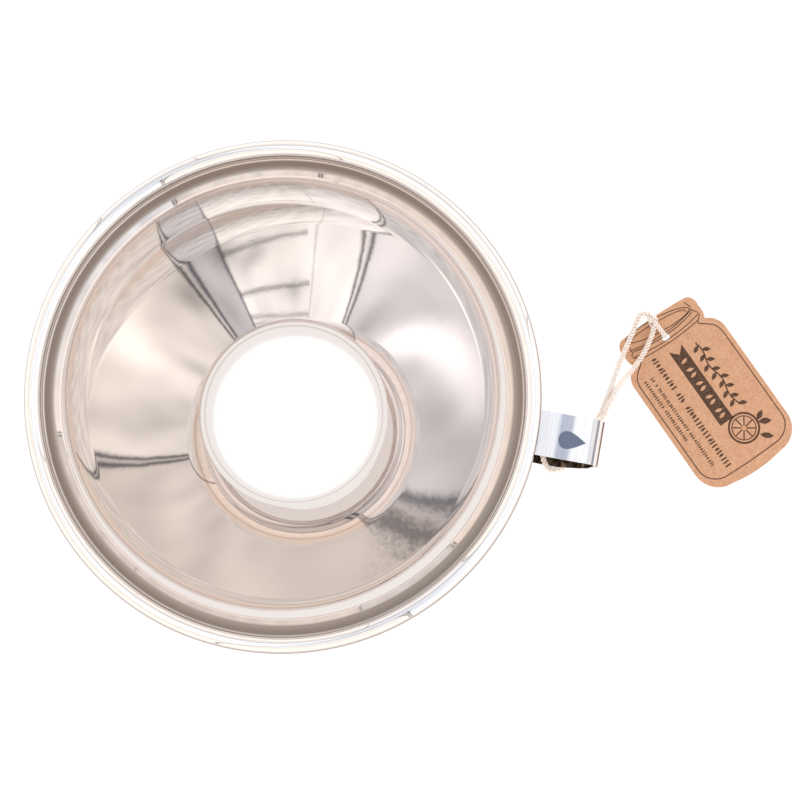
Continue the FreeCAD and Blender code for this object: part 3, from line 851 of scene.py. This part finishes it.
tentSetup = {
    "axis": (0.0435, -0.055),
    "height": 1.2,
    "opening": 0.03,  # radius of the hole for the lens
    "flat": 0.72,  # radius of the flat ceiling
    "radius": 1.25,
    "flatShare": 0.6,  # share of the way down at which the flat ceiling ends
    "around": 1100,  # points in each round
    "rows": (190, 0.34, 70),  # close rows, the share of the way down that they reach, and wider rows below
    "darkest": 0.15,
    "steps": [0.0, 0.17, 0.27, 0.45, 0.6, 0.72, 0.86, 1.0],  # shares of the way from the top to the floor
    "panels": [  # azimuth at which each panel starts, its tint, and its light at each of those steps
        (-104.5, "#fffbf7", [0.90, 1.00, 0.98, 0.94, 0.98, 1.12, 1.28, 1.28]),
        (-49.4, "#f7faff", [0.95, 1.08, 0.98, 0.96, 1.05, 1.35, 1.35, 1.28]),
        (38.3, "#fcfdff", [1.15, 1.55, 1.45, 1.12, 0.84, 0.88, 1.18, 1.28]),
        (71.0, "#fdfeff", [1.20, 1.50, 1.45, 1.00, 0.72, 0.82, 1.08, 1.24]),
        (122.3, "#f6f9ff", [0.90, 0.90, 0.95, 0.95, 0.70, 0.80, 1.10, 1.20]),
        (143.6, "#fffdfa", [0.98, 1.18, 1.06, 1.06, 0.98, 0.98, 1.18, 1.28]),
    ],
    "lowTint": "#fff4ec",  # the cloth is creamier towards the floor
    "lowSteps": (0.5, 0.15),  # where that starts, and over how much of the way down it comes in
    "patchesMm": [  # middle, reach along and across, turn in degrees, and how much light it adds
        ((-162, -46), (58, 30), 42, 0.72),
        ((282, -45), (95, 28), 78, 1.00),
        ((165, 90), (60, 40), 30, 0.50),
        ((-138, 78), (26, 22), 0, -0.50),
        ((-228, -30), (34, 20), 10, -0.25),
        ((-120, 20), (24, 16), 0, 0.25),
        ((-235, 120), (60, 40), 30, -0.30),
        ((245, -215), (80, 45), -40, -0.12),
        ((240, 110), (50, 40), 30, -0.25),
        ((-40, 150), (26, 10), 0, -0.55),
        ((25, 200), (22, 10), 0, -0.40),
        ((-70, 122), (18, 14), 30, -0.45),
        ((10, -10), (75, 60), 30, -0.60),
        ((-150, -190), (60, 30), -50, -0.15),
    ],
    "seamsFromMm": 200,  # seams are placed by their azimuth at this distance from the middle
    "seamsTo": -190,  # and end this far from there, back towards the middle
    "seamColour": "#4a4b58",
    "seams": [  # azimuth, heading, half gap and half width in millimetres, darkness
        (143.6, 143.6, 6.5, 3.4, 0.92),
        (122.3, 122.3, 0.0, 3.0, 0.80),
        (69.0, 77.3, 0.0, 1.6, 0.45),
        (38.3, 38.3, 6.5, 3.4, 0.92),
        (-49.4, -49.4, 6.0, 4.0, 0.92),
        (-105.0, -101.0, 6.0, 4.5, 0.92),
    ],
    "hemPanel": (71.0, 122.3),
    "hemsMm": [  # cross lines in one panel: distances from the middle at its two ends, half width, darkness
        (142, 148, 2.2, 0.75),
        (186, 200, 2.2, 0.80),
        (210, 232, 2.0, 0.70),
        (219, 241, 2.0, 0.70),
    ],
    "cloth": 0.09,  # how uneven the cloth is
    "clothWaves": 28,
    "clothLengths": (0.03, 0.16),
    "clothSeed": 4,
}


def clothLight(setup, x, y):
    # slow unevenness of the cloth: a sum of sines of the place along random directions, each with its own
    # length and start
    random = np.random.default_rng(setup["clothSeed"])
    waves = setup["clothWaves"]
    total = np.zeros_like(x)
    for turn, length, phase in zip(random.uniform(0, np.pi, waves),
                                   random.uniform(*setup["clothLengths"], waves),
                                   random.uniform(0, 2 * np.pi, waves)):
        total += np.sin((x * np.cos(turn) + y * np.sin(turn)) * 2 * np.pi / length + phase)
    return total / waves ** 0.5


def tentLight(setup, x, y, step):
    # The panels' light, plus a bell for each patch, plus the cloth's unevenness, less a dark bell across each
    # seam and hem. Gives red, green and blue.
    onCeiling = step < setup["flatShare"]
    azimuth = np.degrees(np.arctan2(y, x))
    reach = np.hypot(x, y)
    light = np.zeros(x.shape)
    tint = np.ones(x.shape + (3,))
    starts = [panel[0] for panel in setup["panels"]]
    for number, (start, colour, levels) in enumerate(setup["panels"]):
        width = (starts[(number + 1) % len(starts)] - start) % 360
        inside = (azimuth - start) % 360 < width
        light[inside] = np.interp(step[inside], setup["steps"], levels)
        tint[inside] = linearColour(colour)[:3]
    light += setup["cloth"] * clothLight(setup, x, y) * np.where(onCeiling, 1, 0.5)
    for (middleX, middleY), (along, across), turn, gain in setup["patchesMm"]:
        turn = math.radians(turn)
        ahead = ((x / mm - middleX) * math.cos(turn) + (y / mm - middleY) * math.sin(turn)) / along
        aside = ((y / mm - middleY) * math.cos(turn) - (x / mm - middleX) * math.sin(turn)) / across
        light += gain * np.exp(-(ahead ** 2 + aside ** 2) / 1.2) * onCeiling
    shade = np.ones(x.shape)
    for place, heading, gap, halfWidth, darkness in setup["seams"]:
        turn = math.radians(heading)
        away = math.radians(place)
        fromX = x / mm - setup["seamsFromMm"] * math.cos(away)
        fromY = y / mm - setup["seamsFromMm"] * math.sin(away)
        aside = np.abs(fromY * math.cos(turn) - fromX * math.sin(turn))
        band = np.exp(-((aside - gap) / halfWidth) ** 2)
        shade *= 1 - darkness * band * (fromX * math.cos(turn) + fromY * math.sin(turn) > setup["seamsTo"])
    hemStart, hemEnd = setup["hemPanel"]
    inPanel = (azimuth > hemStart) & (azimuth < hemEnd)
    share = np.clip((hemEnd - azimuth) / (hemEnd - hemStart), 0, 1)
    for left, right, halfWidth, darkness in setup["hemsMm"]:
        bow = left + (right - left) * share
        shade *= 1 - darkness * np.exp(-((reach / mm - bow) / halfWidth) ** 2) * inPanel
    lowStart, lowRun = setup["lowSteps"]
    low = np.clip((step - lowStart) / lowRun, 0, 1)[..., None]
    tint = tint * (1 - low + low * np.array(linearColour(setup["lowTint"])[:3]))
    colour = np.clip(light, setup["darkest"], None)[..., None] * tint
    dark = np.array(linearColour(setup["seamColour"])[:3])
    return colour * shade[..., None] + dark * (1 - shade[..., None])


def makeTent(setup):
    # A ceiling that is flat out to one radius, then a quarter ellipse down to the floor. A point is
    # (r cos a, r sin a, z) from the tent's axis, and its light is a colour kept at that point.
    closeRows, closeShare, wideRows = setup["rows"]
    flatShare = setup["flatShare"]
    azimuth = np.linspace(0, 2 * np.pi, setup["around"], endpoint=False)
    step = np.concatenate([np.linspace(0, closeShare, closeRows, endpoint=False),
                           np.linspace(closeShare, 1, wideRows)])
    bend = np.clip((step - flatShare) / (1 - flatShare), 0, 1) * np.pi / 2
    ceiling = setup["opening"] + (setup["flat"] - setup["opening"]) * step / flatShare
    side = setup["flat"] + (setup["radius"] - setup["flat"]) * np.sin(bend)
    radius = np.where(step < flatShare, ceiling, side)
    height = setup["height"] * np.where(step < flatShare, 1, np.cos(bend))
    x = radius[None, :] * np.cos(azimuth)[:, None]
    y = radius[None, :] * np.sin(azimuth)[:, None]
    z = np.broadcast_to(height[None, :], x.shape)
    light = tentLight(setup, x, y, np.broadcast_to(step[None, :], x.shape))
    colour = np.concatenate([light, np.ones(x.shape + (1,))], axis=-1)
    material = bpy.data.materials.new("tentLight")
    material.use_nodes = True
    tree = material.node_tree
    tree.nodes.clear()
    paint = addNode(tree, "Attribute", attribute_name="light")
    glow = addNode(tree, "Emission", {"Strength": 1.0}, {"Color": paint.outputs["Color"]})  # white cloth, lit
    addNode(tree, "OutputMaterial", links={"Surface": glow.outputs["Emission"]})
    material.cycles.emission_sampling = "NONE"  # the tent is all round, so rays find it by themselves
    points = np.stack([x + setup["axis"][0], y + setup["axis"][1], z], axis=-1)
    faces = gridFaces(len(azimuth), len(step), True, False)
    tent = meshPiece("lightTent", points.reshape(-1, 3), faces, material)
    attribute = tent.data.attributes.new("light", "FLOAT_COLOR", "POINT")
    attribute.data.foreach_set("color", colour.reshape(-1))
    tent.visible_camera = False
    tent.visible_shadow = False
    return tent


floorSetup = {
    "reach": 4.0,
    "depth": 0.0001,  # just under the funnel's edge
    "grey": 0.28,
    "glow": 0.82,
}


def makeFloor(setup):
    # white paper, lit from below until it is plain white
    grey = setup["grey"]
    material, tree, shader = newMaterial("whitePaper", {
        "Base Color": (grey, grey, grey, 1), "Roughness": 0.9, "Specular IOR Level": 0.1,
        "Emission Color": (1, 1, 1, 1), "Emission Strength": setup["glow"]})
    corners = np.array([(-1, -1), (1, -1), (1, 1), (-1, 1)]) * setup["reach"]
    points = np.column_stack([corners, np.full(4, -setup["depth"])])
    return meshPiece("whiteFloor", points, [(0, 1, 2, 3)], material, smooth=False)


world = bpy.data.worlds.new("studio")
world.use_nodes = True
background = world.node_tree.nodes["Background"]
background.inputs["Color"].default_value = (1, 1, 1, 1)
background.inputs["Strength"].default_value = 1.0
bpy.context.scene.world = world
bpy.context.scene.view_settings.view_transform = "Standard"
makeTent(tentSetup)
makeFloor(floorSetup)
print("stage lit")
